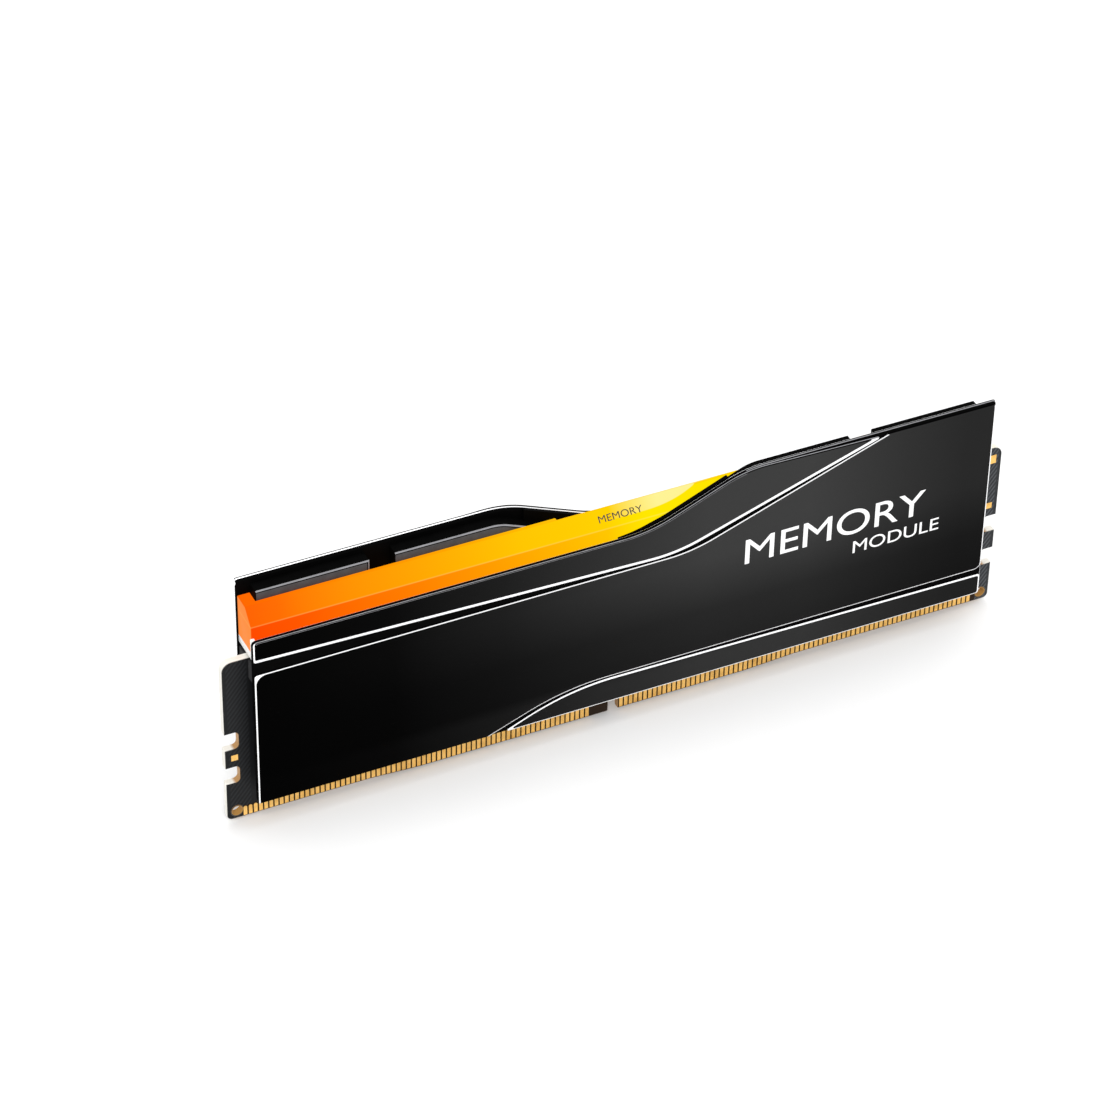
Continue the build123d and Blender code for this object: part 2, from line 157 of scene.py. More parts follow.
class StageSettings(bpy.types.PropertyGroup):
    """Floor, lights and camera."""
    floor: colour("Floor", "Colour of the floor", (0.86, 0.86, 0.86))
    camera_x: FloatProperty(name="Camera X", description="Camera place across", default=-0.2344,
                            subtype="DISTANCE", unit="LENGTH")
    camera_y: FloatProperty(name="Camera Y", description="Camera place in front", default=-0.4562,
                            subtype="DISTANCE", unit="LENGTH")
    camera_z: FloatProperty(name="Camera Z", description="Camera height", default=0.4305,
                            subtype="DISTANCE", unit="LENGTH")
    camera_aim: FloatVectorProperty(name="Camera aim", description="Direction the camera looks in", size=3,
                                    default=(0.3448886, 0.7093374, -0.6147295), subtype="DIRECTION")
    camera_roll: FloatProperty(name="Camera roll", description="Tilt about the line of sight",
                               default=0.01797, subtype="ANGLE", unit="ROTATION")
    lens: FloatProperty(name="Lens", description="Focal length in millimetres", default=138.55, min=10.0)
    key: share("Key light", "Strength of the large front light", 1.0, 10.0)


# ----------------------------------------------------------- materials
def new_material(name):
    """An empty node material with its principled shader."""
    material = bpy.data.materials.new(name)
    material.use_nodes = True
    nodes = material.node_tree.nodes
    nodes.clear()
    shader = nodes.new("ShaderNodeBsdfPrincipled")
    output = nodes.new("ShaderNodeOutputMaterial")
    material.node_tree.links.new(shader.outputs["BSDF"], output.inputs["Surface"])
    return material, shader


class Wires:
    """Short way to add and join a material's nodes."""

    def __init__(self, material):
        self.tree = material.node_tree
        self.place = self.add("ShaderNodeTexCoord")

    def add(self, kind, **values):
        node = self.tree.nodes.new(kind)
        for key, value in values.items():
            setattr(node, key, value)
        return node

    def join(self, source, target):
        self.tree.links.new(source, target)

    def mapped(self, scale=(1, 1, 1), turn=(0, 0, 0), shift=(0, 0, 0)):
        """Object coordinates after a shift, turn and scale."""
        node = self.add("ShaderNodeMapping")
        self.join(self.place.outputs["Object"], node.inputs["Vector"])
        node.inputs["Scale"].default_value = scale
        node.inputs["Rotation"].default_value = turn
        node.inputs["Location"].default_value = shift
        return node.outputs["Vector"]

    def noise(self, scale, detail=3.0, vector=None, rough=0.5):
        node = self.add("ShaderNodeTexNoise")
        node.inputs["Scale"].default_value = scale
        node.inputs["Detail"].default_value = detail
        node.inputs["Roughness"].default_value = rough
        self.join(vector or self.place.outputs["Object"], node.inputs["Vector"])
        return node.outputs["Fac"]

    def spread(self, value, low, high, from_low=0.0, from_high=1.0):
        """A value moved from one range to another, and held inside it."""
        node = self.add("ShaderNodeMapRange", clamp=True)
        self.join(value, node.inputs["Value"])
        node.inputs["From Min"].default_value = from_low
        node.inputs["From Max"].default_value = from_high
        node.inputs["To Min"].default_value = low
        node.inputs["To Max"].default_value = high
        return node.outputs["Result"]

    def ramp(self, value, stops, interpolation="LINEAR"):
        """A colour ramp with stops of (place, colour)."""
        node = self.add("ShaderNodeValToRGB")
        node.color_ramp.interpolation = interpolation
        elements = node.color_ramp.elements
        while len(elements) < len(stops):
            elements.new(0.5)
        for element, (place, tint) in zip(elements, stops):
            element.position = place
            element.color = (*tint, 1.0)
        self.join(value, node.inputs["Fac"])
        return node.outputs["Color"]

    def sum(self, first, second, operation="ADD"):
        node = self.add("ShaderNodeMath", operation=operation)
        for socket, value in zip(node.inputs, (first, second)):
            if isinstance(value, (int, float)):
                socket.default_value = value
            else:
                self.join(value, socket)
        return node.outputs["Value"]

    def mix(self, share_of, first, second, blend="MIX"):
        """Two colours mixed by a share; each is a colour or a socket."""
        node = self.add("ShaderNodeMix", data_type="RGBA", blend_type=blend)
        sockets = (node.inputs[0], node.inputs[6], node.inputs[7])
        for socket, value in zip(sockets, (share_of, first, second)):
            if hasattr(value, "is_linked"):
                self.join(value, socket)
            elif isinstance(value, (int, float)):
                socket.default_value = value
            else:
                socket.default_value = (*value, 1.0)
        return node.outputs[2]

    def parts_of(self, vector):
        node = self.add("ShaderNodeSeparateXYZ")
        self.join(vector, node.inputs["Vector"])
        return node.outputs

    def bump(self, height, strength, distance):
        node = self.add("ShaderNodeBump")
        node.inputs["Strength"].default_value = strength
        node.inputs["Distance"].default_value = distance
        self.join(height, node.inputs["Height"])
        return node.outputs["Normal"]


def srgb(red, green, blue):
    """A display colour, 0 to 255, as linear light."""
    def linear(value):
        value /= 255
        return value / 12.92 if value <= 0.04045 else ((value + 0.055) / 1.055) ** 2.4
    return tuple(linear(v) for v in (red, green, blue))


def anodised_black(settings):
    """Black anodising over fine-blasted aluminium, with a painted reflection and shade that leave it
    darkest at one end and along the lower half.
    """
    material, shader = new_material("anodised_black")
    wires = Wires(material)
    x, _, z = wires.parts_of(wires.place.outputs["Object"])[:3]
    along = wires.spread(x, 0.0, 1.0, -END * MM, END * MM)
    # Painted reflection and shade along X: darkest at the -X end, lightest past the middle, a little
    # darker again towards +X.
    shades = ((0.0, 0.01), (0.04, 0.013), (0.18, 0.047), (0.325, 0.24), (0.44, 0.52), (0.54, 0.76),
              (0.60, 0.92), (0.74, 0.955), (0.82, 0.74), (0.88, 0.58), (0.96, 0.41))
    tint = wires.ramp(along, tuple((place, tuple(v * level for v in settings.anodised))
                                   for place, level in shades))
    # Painted shade: darker towards the bottom, then lighter again below about 10 mm.
    rise = wires.spread(z, 0.0, 1.0, 10 * MM, 32 * MM)
    height = wires.ramp(rise, tuple((place, (level,) * 3) for place, level in (
        (0.0, 0.33), (0.36, 0.43), (0.82, 0.97), (1.0, 1.0))))
    ledge = wires.spread(z, 0.39, 0.0, 8.6 * MM, 10.6 * MM)
    grain = wires.noise(9000.0, 2.0)
    cloud = wires.noise(60.0, 3.0)
    speck = wires.spread(grain, 0.86, 1.14, 0.3, 0.7)
    level = wires.sum(wires.sum(height, ledge), speck, "MULTIPLY")
    wires.join(wires.mix(level, (0.0, 0.0, 0.0), tint), shader.inputs["Base Color"])
    wires.join(wires.spread(cloud, 0.50, 0.58, 0.3, 0.7), shader.inputs["Roughness"])
    wires.join(wires.bump(grain, 0.08, 0.00002), shader.inputs["Normal"])
    shader.inputs["Specular IOR Level"].default_value = 0.008
    return material


def bright_cut(settings):
    """Diamond-cut aluminium, with fine tool lines along the cut."""
    material, shader = new_material("bright_cut")
    wires = Wires(material)
    lines = wires.noise(1.0, 2.0, wires.mapped(scale=(150.0, 9000.0, 9000.0)))
    tint = wires.mix(wires.spread(lines, 0.0, 0.15), tuple(settings.bright), (0.72, 0.73, 0.75))
    wires.join(tint, shader.inputs["Base Color"])
    wires.join(wires.spread(lines, 0.20, 0.34), shader.inputs["Roughness"])
    shader.inputs["Metallic"].default_value = 0.45
    shader.inputs["Specular IOR Level"].default_value = 0.8
    return material


def mottled_metal_tone(name, tint, gloss=0.1):
    """A finely mottled metal face in one tone: the grey painted highlight on a broken edge, or the
    near-black painted shade of a groove.
    """
    material, shader = new_material(name)
    wires = Wires(material)
    wear = wires.noise(700.0, 4.0)
    pale = tuple(v * 1.25 for v in tint)
    wires.join(wires.mix(wires.spread(wear, 0.0, 1.0, 0.35, 0.65), tuple(tint), pale),
               shader.inputs["Base Color"])
    wires.join(wires.spread(wear, 0.40, 0.55), shader.inputs["Roughness"])
    shader.inputs["Specular IOR Level"].default_value = gloss
    return material


def lit_diffuser(settings):
    """Milky plastic lit from inside: orange at one end, through amber, to yellow, with a painted highlight
    patch on the upper slope and a painted highlight line along the shoulder crest.
    """
    material, shader = new_material("lit_diffuser")
    wires = Wires(material)
    x, y, z = wires.parts_of(wires.place.outputs["Object"])[:3]
    normal = wires.parts_of(wires.place.outputs["Normal"])
    along = wires.spread(x, 0.0, 1.0, -62.5 * MM, 62.5 * MM)
    slope = wires.ramp(along, tuple((place, srgb(255, green, 1)) for place, green in (
        (0.0, 97), (0.04, 106), (0.08, 126), (0.13, 143), (0.20, 159), (0.28, 177), (0.36, 195),
        (0.44, 203), (0.52, 216), (0.62, 224), (1.0, 228))))
    front = wires.ramp(along, tuple((place, srgb(255, green, 0)) for place, green in (
        (0.0, 72), (0.06, 82), (0.13, 105), (0.20, 123), (0.28, 145), (0.36, 167),
        (0.44, 189), (0.52, 208), (0.62, 214), (1.0, 220))))
    upright = wires.spread(normal[1], 1.0, 0.0, -0.97, -0.85)
    body = wires.mix(upright, slope, front)
    end = wires.spread(wires.sum(normal[0], 0.0, "ABSOLUTE"), 0.0, 1.0, 0.7, 0.9)
    end_tint = wires.ramp(along, ((0.0, srgb(255, 143, 68)), (1.0, srgb(255, 236, 110))))
    body = wires.mix(end, body, end_tint)
    # Painted highlight: a pale patch on the upper slope from about X -3 to 16 mm, behind an S-shaped edge.
    glow_and_painted_highlight = wires.sum(wires.spread(x, 0.0, 1.0, -3 * MM, 5 * MM),
                     wires.spread(x, 1.0, 0.0, 11 * MM, 16 * MM), "MULTIPLY")
    glow_and_painted_highlight = wires.sum(glow_and_painted_highlight, wires.spread(z, 0.0, 1.0, 38.7 * MM, 38.9 * MM), "MULTIPLY")
    bend = wires.sum(wires.spread(x, 0.0, 1.0, 1.8 * MM, 12.0 * MM), 2.4, "POWER")
    boundary = wires.spread(bend, -1.5 * MM, -0.1 * MM)
    behind = wires.sum(y, boundary, "SUBTRACT")
    pale = wires.spread(behind, 0.0, 1.0, -0.03 * MM, 0.03 * MM)
    ahead = wires.spread(behind, 1.0, 0.0, -0.03 * MM, 0.03 * MM)
    sides = wires.sum(wires.spread(x, 0.0, 1.0, -4.0 * MM, 3.5 * MM), ahead, "MULTIPLY")
    body = wires.mix(wires.sum(glow_and_painted_highlight, pale, "MULTIPLY"), body, srgb(254, 240, 148))
    body = wires.mix(sides, body, srgb(255, 229, 0))
    # Painted highlight: a lighter line along the shoulder crest.
    below = wires.spread(z, 0.0, 1.0, BAR_SHOULDER - CREST_FAR, BAR_SHOULDER - CREST_NEAR)
    above = wires.spread(z, 1.0, 0.0, BAR_SHOULDER + CREST_NEAR, BAR_SHOULDER + CREST_FAR)
    crest = wires.sum(below, above, "MULTIPLY")
    body = wires.mix(wires.sum(crest, 0.18, "MULTIPLY"), body, srgb(255, 236, 130))
    flat = wires.spread(normal[2], 0.0, 0.22, 0.95, 0.99)
    body = wires.mix(flat, body, srgb(255, 120, 0))
    milk = wires.noise(140.0, 3.0)
    body = wires.mix(wires.spread(milk, 0.0, 0.03, 0.3, 0.7), body, srgb(255, 170, 0))
    wires.join(body, shader.inputs["Emission Color"])
    shader.inputs["Emission Strength"].default_value = settings.glow_and_painted_highlight
    wires.join(wires.mix(0.97, body, (0.0, 0.0, 0.0)), shader.inputs["Base Color"])
    wires.join(wires.spread(milk, 0.30, 0.38), shader.inputs["Roughness"])
    shader.inputs["Specular IOR Level"].default_value = 0.004
    return material


def white_plastic():
    """Moulded white plastic of the light carrier."""
    material, shader = new_material("white_plastic")
    wires = Wires(material)
    cloud = wires.noise(300.0, 4.0)
    tint = wires.mix(wires.spread(cloud, 0.0, 1.0, 0.3, 0.7), (0.82, 0.82, 0.80), (0.92, 0.92, 0.91))
    wires.join(tint, shader.inputs["Base Color"])
    wires.join(wires.bump(wires.noise(6000.0), 0.15, 0.00002), shader.inputs["Normal"])
    shader.inputs["Roughness"].default_value = 0.45
    return material


def solder_mask(settings):
    """Black solder mask over copper hatching, in a painted shade darkest at one end; the bare laminate
    shows at the edges.
    """
    material, shader = new_material("solder_mask")
    wires = Wires(material)
    x, _, z = wires.parts_of(wires.place.outputs["Object"])[:3]
    normal = wires.parts_of(wires.place.outputs["Normal"])
    pitch = 1.0 / settings.hatch_pitch
    slanted = wires.mapped(turn=(0.0, math.radians(-38), 0.0))
    across = wires.parts_of(slanted)[0]
    wave = wires.sum(wires.sum(across, pitch, "MULTIPLY"), 0.0, "FRACT")
    line = wires.sum(wires.spread(wave, 0.0, 1.0, 0.30, 0.42), wires.spread(wave, 1.0, 0.0, 0.78, 0.90),
                     "MULTIPLY")
    far = wires.sum(x, 0.0, "ABSOLUTE")
    inside = wires.sum(wires.spread(far, 1.0, 0.0, 66.0 * MM, 66.15 * MM),
                       wires.spread(far, 0.0, 1.0, 62.6 * MM, 62.8 * MM), "MULTIPLY")
    line = wires.sum(line, inside, "MULTIPLY")
    cloud = wires.noise(900.0, 3.0)
    mask = tuple(settings.mask)
    deep, lit = tuple(v * 0.25 for v in mask), tuple(v * 0.9 for v in mask)
    # Painted shade and reflection: dark at -X, lighter towards +X, where the hatch also shows more
    # strongly.
    ground = wires.mix(wires.spread(x, 0.0, 1.0, -64 * MM, 64 * MM), deep, lit)
    hatch = wires.sum(line, wires.spread(x, 0.12, 0.9, -64 * MM, 64 * MM), "MULTIPLY")
    tint = wires.mix(hatch, ground, tuple(v * 2.8 for v in mask))
    tint = wires.mix(wires.spread(cloud, 0.0, 0.2, 0.3, 0.7), tint, deep)
    gaps = wires.sum(wires.spread(far, 1.0, 0.0, 64.1 * MM, 64.15 * MM),
                     wires.spread(z, 1.0, 0.0, 2.6 * MM, 2.7 * MM), "MULTIPLY")
    tint = wires.mix(gaps, tint, (0.020, 0.008, 0.001))
    glass = wires.noise(1.0, 2.0, wires.mapped(scale=(700.0, 6000.0, 700.0)))
    weave = wires.spread(glass, 0.0, 1.0, 0.35, 0.65)
    laminate = wires.mix(weave, tuple(settings.laminate), (0.82, 0.80, 0.74))
    edge = wires.spread(wires.sum(normal[1], 0.0, "ABSOLUTE"), 1.0, 0.0, 0.55, 0.75)
    inner = wires.sum(wires.spread(far, 1.0, 0.0, 65.0 * MM, 65.5 * MM),
                      wires.spread(z, 1.0, 0.0, 19.5 * MM, 20.0 * MM), "MULTIPLY")
    copper = wires.mix(inner, laminate, (0.42, 0.24, 0.10))
    wires.join(wires.mix(edge, tint, copper), shader.inputs["Base Color"])
    height = wires.sum(line, wires.sum(wires.noise(5000.0), 0.2, "MULTIPLY"))
    wires.join(wires.bump(height, 0.35, 0.00003), shader.inputs["Normal"])
    wires.join(wires.spread(cloud, 0.38, 0.50), shader.inputs["Roughness"])
    shader.inputs["Specular IOR Level"].default_value = 0.12
    return material


def gold_plating(settings, name="gold_plating", masked=False):
    """Gold over nickel, faintly brushed; masked, its flat faces carry solder mask up to a thin rim."""
    material, shader = new_material(name)
    wires = Wires(material)
    brushed = wires.noise(1.0, 3.0, wires.mapped(scale=(9000.0, 9000.0, 700.0)))
    cloud = wires.noise(500.0, 3.0)
    tint = wires.mix(wires.spread(brushed, 0.0, 0.6, 0.35, 0.7), tuple(settings.gold), (1.0, 0.72, 0.30))
    tint = wires.mix(wires.spread(cloud, 0.0, 0.4, 0.45, 0.70), tint, (0.42, 0.20, 0.035))
    if masked:
        x, _, z = wires.parts_of(wires.place.outputs["Object"])[:3]
        normal = wires.parts_of(wires.place.outputs["Normal"])
        across = wires.sum(wires.sum(x, 0.0, "ABSOLUTE"), HOLE_X, "SUBTRACT")
        up = wires.sum(z, HOLE_Z, "SUBTRACT")
        squares = wires.sum(wires.sum(across, 2.0, "POWER"), wires.sum(up, 2.0, "POWER"))
        reach = wires.sum(squares, 0.5, "POWER")
        face = wires.spread(wires.sum(normal[1], 0.0, "ABSOLUTE"), 0.0, 1.0, 0.55, 0.75)
        cover = wires.sum(face, wires.spread(reach, 0.0, 1.0, 0.91 * MM, 0.95 * MM), "MULTIPLY")
        tint = wires.mix(0.7, tint, (0.22, 0.10, 0.02))
        tint = wires.mix(cover, tint, tuple(v * 1.2 for v in settings.mask))
    wires.join(tint, shader.inputs["Base Color"])
    wires.join(wires.spread(brushed, 0.28, 0.42), shader.inputs["Roughness"])
    shader.inputs["Metallic"].default_value = 0.0 if masked else 0.3
    shader.inputs["Specular IOR Level"].default_value = 0.1
    return material


def plain_finish(name, low, high, rough, metallic=0.0, scale=1500.0, bump=0.1):
    """A small part's finish: two close tones in a fine mottle, with a slight bump."""
    material, shader = new_material(name)
    wires = Wires(material)
    mottle = wires.noise(scale, 4.0)
    wires.join(wires.mix(wires.spread(mottle, 0.0, 1.0, 0.3, 0.7), low, high), shader.inputs["Base Color"])
    wires.join(wires.spread(mottle, rough - 0.06, rough + 0.06), shader.inputs["Roughness"])
    wires.join(wires.bump(mottle, bump, 0.00003), shader.inputs["Normal"])
    shader.inputs["Metallic"].default_value = metallic
    return material


# ------------------------------------------------------------ geometry
def rounded(points, radii, steps):
    """Outline through corner points, each corner turned into an arc of its own radius."""
    outline = []
    count = len(points)
    for index in range(count):
        corner = Vector(points[index])
        before = (Vector(points[index - 1]) - corner).normalized()
        after = (Vector(points[(index + 1) % count]) - corner).normalized()
        turn = math.pi - before.angle(after)
        radius = max(radii[index], 0.02)
        reach = radius * math.tan(turn / 2)
        middle = corner + (before + after).normalized() * (radius / math.cos(turn / 2))
        start = corner + before * reach - middle
        side = 1 if before.x * after.y - before.y * after.x < 0 else -1
        for step in range(steps + 1):
            swing = side * turn * step / steps
            arm = Vector((start.x * math.cos(swing) - start.y * math.sin(swing),
                          start.x * math.sin(swing) + start.y * math.cos(swing)))
            outline.append(middle + arm)
    return outline


def drawn_in(points, widths):
    """Corner points moved inwards, each side by a width of its own."""
    count = len(points)
    sides = []
    for index in range(count):
        start = Vector(points[index])
        along = (Vector(points[(index + 1) % count]) - start).normalized()
        inward = Vector((-along.y, along.x))
        sides.append((start + inward * widths[index], along))
    result = []
    for index in range(count):
        (here, along), (there, other) = sides[index - 1], sides[index]
        cross = along.x * other.y - along.y * other.x
        gap = there - here
        share_of = (gap.x * other.y - gap.y * other.x) / cross
        result.append(tuple(here + along * share_of))
    return result


def ring(bm, outline, depth):
    """A closed loop of vertices and edges at one depth behind the front face."""
    verts = [bm.verts.new((p.x, -depth, p.y)) for p in outline]
    return [bm.edges.new((verts[i], verts[(i + 1) % len(verts)])) for i in range(len(verts))], verts


def grown(bm, verts, edges, outline, depth, finishes):
    """The loop extruded to the next outline; finishes has a material for each side of it."""
    made = bmesh.ops.extrude_edge_only(bm, edges=edges)["geom"]
    fresh = {v for v in made if isinstance(v, bmesh.types.BMVert)}
    partner = {}
    for old in verts:
        partner[old] = next(e.other_vert(old) for e in old.link_edges if e.other_vert(old) in fresh)
    new_verts = [partner[old] for old in verts]
    count = len(verts)
    new_edges = []
    for index in range(count):
        edge = bm.edges.get((new_verts[index], new_verts[(index + 1) % count]))
        new_edges.append(edge)
        for face in edge.link_faces:
            face.material_index = finishes[index]
    for vert, place in zip(new_verts, outline):
        vert.co = (place.x, -depth, place.y)
    return new_verts, new_edges


def per_side(values, steps):
    """One value per straight side, spread over the sides of a rounded outline."""
    result = []
    for index in range(len(values)):
        half = steps // 2
        result += [values[index - 1]] * half + [values[index]] * (steps - half) + [values[index]]
    return result


def island(bm, points, radii, top_radii, cuts, steps, drop):
    """A raised area of the spreader: upright wall in painted shade, bright-cut chamfer, edge lines (some
    in painted highlight and painted shade), flat top.
    """
    outer = rounded(points, radii, steps)
    edges, verts = ring(bm, outer, FLOOR - SEAT)
    base_verts = list(verts)
    verts, edges = grown(bm, verts, edges, outer, OUTER - drop, [DEEP] * len(outer))
    total = [0.0] * len(points)
    for widths, finishes in cuts:
        total = [a + b for a, b in zip(total, widths)]
        line = rounded(drawn_in(points, total), top_radii, steps)
        verts, edges = grown(bm, verts, edges, line, FACE, per_side(finishes, steps))
    bm.faces.new(verts).material_index = BLACK
    bm.faces.new(list(reversed(base_verts))).material_index = BLACK


def finished(name, bm, materials, scale=MM, angle=SHARP):
    """A mesh object at the origin from a bmesh, drawn in millimetres unless scale says otherwise."""
    bmesh.ops.scale(bm, vec=(scale, scale, scale), verts=bm.verts)
    bmesh.ops.recalc_face_normals(bm, faces=bm.faces)
    mesh = bpy.data.meshes.new(name)
    bm.to_mesh(mesh)
    bm.free()
    mesh.shade_smooth()
    mesh.set_sharp_from_angle(angle=angle)
    for material in materials:
        mesh.materials.append(material)
    piece = bpy.data.objects.new(name, mesh)
    bpy.context.scene.collection.objects.link(piece)
    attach(piece, BODY)
    return piece


def from_node(node, reach, segments=2):
    """The CAD node's own shape with its sharp edges broken by a small bevel."""
    bm = bmesh.new()
    bm.from_mesh(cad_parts[node].data)
    bmesh.ops.scale(bm, vec=(1 / MM,) * 3, verts=bm.verts)
    bmesh.ops.remove_doubles(bm, verts=bm.verts, dist=0.0005)
    bmesh.ops.dissolve_limit(bm, angle_limit=math.radians(0.6), verts=bm.verts, edges=bm.edges,
                             delimit={"NORMAL"})
    sharp = [e for e in bm.edges if len(e.link_faces) == 2 and e.calc_face_angle(0.0) > SHARP]
    bmesh.ops.bevel(bm, geom=sharp, offset=reach / MM, offset_type="OFFSET", affect="EDGES",
                    segments=segments, profile=0.5, material=-1, clamp_overlap=True)
    return bm


def dress(node, material):
    """A carried-over CAD node's slots filled with a material."""
    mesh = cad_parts[node].data
    if not mesh.materials:
        mesh.materials.append(material)
    for index in range(len(mesh.materials)):
        mesh.materials[index] = material


# ----------------------------------------------------- heat spreaders
SHELL = ((-END, FOOT), (END, FOOT), (END, TALL), (RISE_END, TALL), (RISE_START, LOW), (-END, LOW))
SHELL_RADII = (0.6, 0.6, 0.6, RISE_HEAD_R, RISE_FOOT_R, 0.6)
BAND = ((-62.72, 32.59), (7.3, 30.69), (43.2, 42.72), (RISE_END, 43.36), (RISE_START, LOW - BAND_INSET),
        (-62.72, LOW - BAND_INSET))
PANEL = ((-62.66, 5.1), (-24.35, 5.1), (-11.3, 10.14), (62.62, 10.14), (62.62, 42.6), (43.4, 42.6),
         (9.7, 30.42), (-62.66, 30.13))
WEDGE = ((-22.0, 5.06), (62.62, 5.06), (62.62, 8.97), (-10.4, 9.9))
RIBS = (
    (((12.0, RIB_FOOT), (37.9, RIB_FOOT), (37.9, RIB_TOP), (20.6, RIB_TOP)), (0.02, 0.02, 0.1, 8.0)),
    (((42.0, RIB_FOOT), (60.3, RIB_FOOT), (60.3, RIB_TOP), (42.0, RIB_TOP)), (0.02, 0.02, 0.1, 0.1)),
)
STEPS_ROUND = 16


def shell(bm, edge_break):
    """The spreader's plate, with the bright line and the slanted inside of its top; its floor and walls
    are in near-black painted shade, and the chamfer of its tall top edge carries a grey painted highlight.
    """
    def outline(*widths):
        return rounded(drawn_in(SHELL, widths), SHELL_RADII, STEPS_ROUND)

    def sides(*finishes):
        return per_side(finishes, STEPS_ROUND)

    full = outline(0, 0, 0, 0, 0, 0)
    edges, verts = ring(bm, outline(0.02, 0.02, WALL_FALL, WALL_FALL, WALL_FALL, 0.02), INNER)
    inside = list(verts)
    verts, edges = grown(bm, verts, edges, outline(0.01, 0.01, RIM_FALL, RIM_FALL, RIM_FALL, 0.01),
                         RIM_FROM, sides(DEEP, BRIGHT, DEEP, DEEP, DEEP, DEEP))
    verts, edges = grown(bm, verts, edges, full, RIM_TO, sides(DEEP, BRIGHT, BRIGHT, BRIGHT, BRIGHT, DEEP))
    verts, edges = grown(bm, verts, edges, full, FLOOR - edge_break,
                         sides(DEEP, BRIGHT, DEEP, DEEP, DEEP, DEEP))
    verts, edges = grown(bm, verts, edges, outline(*(edge_break,) * 6), FLOOR,
                         sides(DEEP, BRIGHT, GREY, DEEP, DEEP, DEEP))
    bm.faces.new(verts).material_index = DEEP
    bm.faces.new(list(reversed(inside))).material_index = DEEP


def lip(bm):
    """The wall's thicker inside along the rise, beside the light bar; it fades out at its low end."""
    slope = (TALL - LOW) / (RISE_END - RISE_START)
    points = (
        (LIP_FROM, LOW - LIP_HEIGHT),
        (LIP_TO, LOW - LIP_HEIGHT),
        (LIP_TO, LOW + slope * (LIP_TO - RISE_START)),
        (RISE_START, LOW - BAND_INSET),
        (LIP_FROM, LOW - BAND_INSET),
    )
    outline = rounded(points, (0.05, 0.05, 0.05, RISE_FOOT_R, 0.05), STEPS_ROUND)
    edges, verts = ring(bm, outline, INNER)
    inside = list(verts)
    verts, edges = grown(bm, verts, edges, outline, LIP_FACE, [DEEP] * len(outline))
    for vert in verts:
        fade = min(1.0, max(0.0, (vert.co.x - LIP_FROM) / LIP_FADE))
        vert.co.y = -INNER + (INNER - LIP_FACE) * fade + 0.01 * (fade - 1.0)
    bm.faces.new(verts).material_index = DEEP
    bm.faces.new(list(reversed(inside))).material_index = DEEP


def rib(bm, points, radii):
    """A ledge behind the tall stretch that holds the light bar down; a grey painted-highlight line and a
    near-black painted-shade frame run along its upper edges.
    """
    outer = rounded(points, radii, STEPS_ROUND)
    edges, verts = ring(bm, outer, INNER)
    inside = list(verts)
    verts, edges = grown(bm, verts, edges, outer, RIB_FACE + RIB_CUT, [DEEP] * len(outer))
    top = rounded(drawn_in(points, (0.02, 0.05, RIB_LINE, RIB_LINE)), radii, STEPS_ROUND)
    verts, edges = grown(bm, verts, edges, top, RIB_FACE, per_side((DEEP, DEEP, GREY, GREY), STEPS_ROUND))
    line = rounded(drawn_in(points, (0.04, 0.10, RIB_FRAME, RIB_FRAME)), radii, STEPS_ROUND)
    verts, edges = grown(bm, verts, edges, line, RIB_FACE, [DEEP] * len(outer))
    bm.faces.new(verts).material_index = PALE
    bm.faces.new(list(reversed(inside))).material_index = DEEP


def spreader_mesh(settings):
    """The front heat spreader in millimetres: plate, three raised areas, inner lip and two ribs."""
    bm = bmesh.new()
    wide, fine = settings.wide_cut / MM, settings.fine_cut / MM
    slim, thin = fine * 0.75, fine * 0.4
    drop = settings.cut_depth / MM
    shell(bm, settings.edge_break / MM)
    # The band's upper edges carry grey painted-highlight strips and a near-black painted-shade strip
    # beside the bright cut.
    island(bm, BAND, (0.4, 25.0, 0.3, RISE_HEAD_R, RISE_FOOT_R, 0.6),
           (0.3, 25.0, 0.2, RISE_HEAD_R, RISE_FOOT_R, 0.5), (
        ((wide * 1.15, wide * 1.25, thin, thin, thin, fine), (BRIGHT, BRIGHT, GREY, GREY, GREY, BRIGHT)),
        ((thin, thin, thin * 3, thin * 3, thin * 2, thin), (BLACK, BLACK, DEEP, DEEP, DEEP, BLACK)),
        ((thin, thin, thin, thin * 0.8, thin * 0.8, thin), (BLACK, BLACK, BLACK, GREY, GREY, BLACK)),
    ), STEPS_ROUND, drop)
    island(bm, PANEL, (0.2, 0.2, 38.0, 1.25, 0.4, 0.3, 24.0, 0.45),
           (0.2, 0.2, 38.0, 1.0, 0.3, 0.3, 24.0, 1.7), (
        ((thin, fine, fine, fine, thin, slim, slim, fine),
         (BLACK, BRIGHT, BRIGHT, BRIGHT, BLACK, BRIGHT, BRIGHT, BRIGHT)),
    ), STEPS_ROUND, drop)
    island(bm, WEDGE, (0.2, 0.4, 0.5, 38.0), (0.2, 0.3, 0.4, 38.0), (
        ((fine, fine * 1.3, wide * 0.66, fine * 0.9), (BRIGHT, BRIGHT, BRIGHT, BRIGHT)),
    ), STEPS_ROUND, drop)
    lip(bm)
    for points, radii in RIBS:
        rib(bm, points, radii)
    return bm


